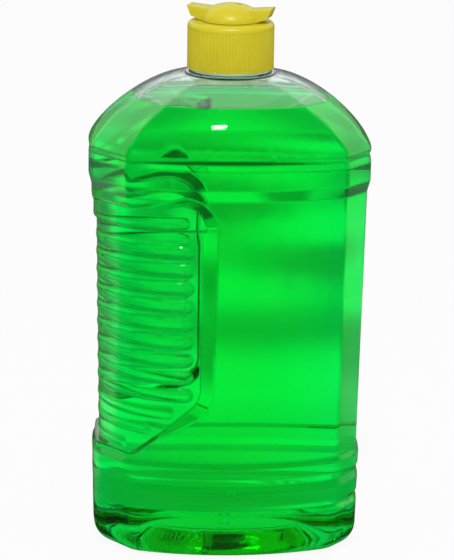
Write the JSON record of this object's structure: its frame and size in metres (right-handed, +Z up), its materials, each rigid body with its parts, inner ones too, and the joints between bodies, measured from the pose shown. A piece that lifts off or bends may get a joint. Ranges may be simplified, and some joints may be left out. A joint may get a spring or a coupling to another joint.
{
  "type": "cologne bottle",
  "caption": "Clear blown cologne bottle with a ribbed hand grip, filled with green cologne, closed by a yellow knurled screw cap with a winged butterfly top that turns to pour",
  "frame": {"origin": "centre of the foot ring, on the surface that the bottle stands on", "axes": "+Z up along the neck, -Y towards the viewer of the picture, the hand grip on -X"},
  "size_m": [0.106, 0.0764, 0.2075],
  "materials": {
    "clear_plastic": "clear gloss",
    "green_cologne": "clear liquid",
    "yellow_plastic": "satin moulded",
    "liner_foam": "matt foam"
  },
  "bodies": {
    "root": {"bottle": "clear_plastic", "cologne": "green_cologne"},
    "liner": {"seal_washer": "liner_foam"},
    "cap": {"cap_body": "yellow_plastic"},
    "top": {"butterfly_top": "yellow_plastic"}
  },
  "joints": [
    {"name": "cap_lift", "type": "slide", "parent": "root", "child": "liner", "axis": [0, 0, 1], "range_m": [0, 0.0063]},
    {"name": "cap_turn", "type": "hinge", "parent": "liner", "child": "cap", "pos_m": [0, 0, 0.199], "axis": [0, 0, 1], "range_deg": [0, 540]},
    {"name": "top_turn", "type": "hinge", "parent": "cap", "child": "top", "pos_m": [0, 0, 0.2012], "axis": [0, 0, 1], "range_deg": [0, 90]}
  ],
  "couplings": [
    {"joint": "cap_lift", "follows": "cap_turn", "m_per_rad": 0.00066845}
  ]
}
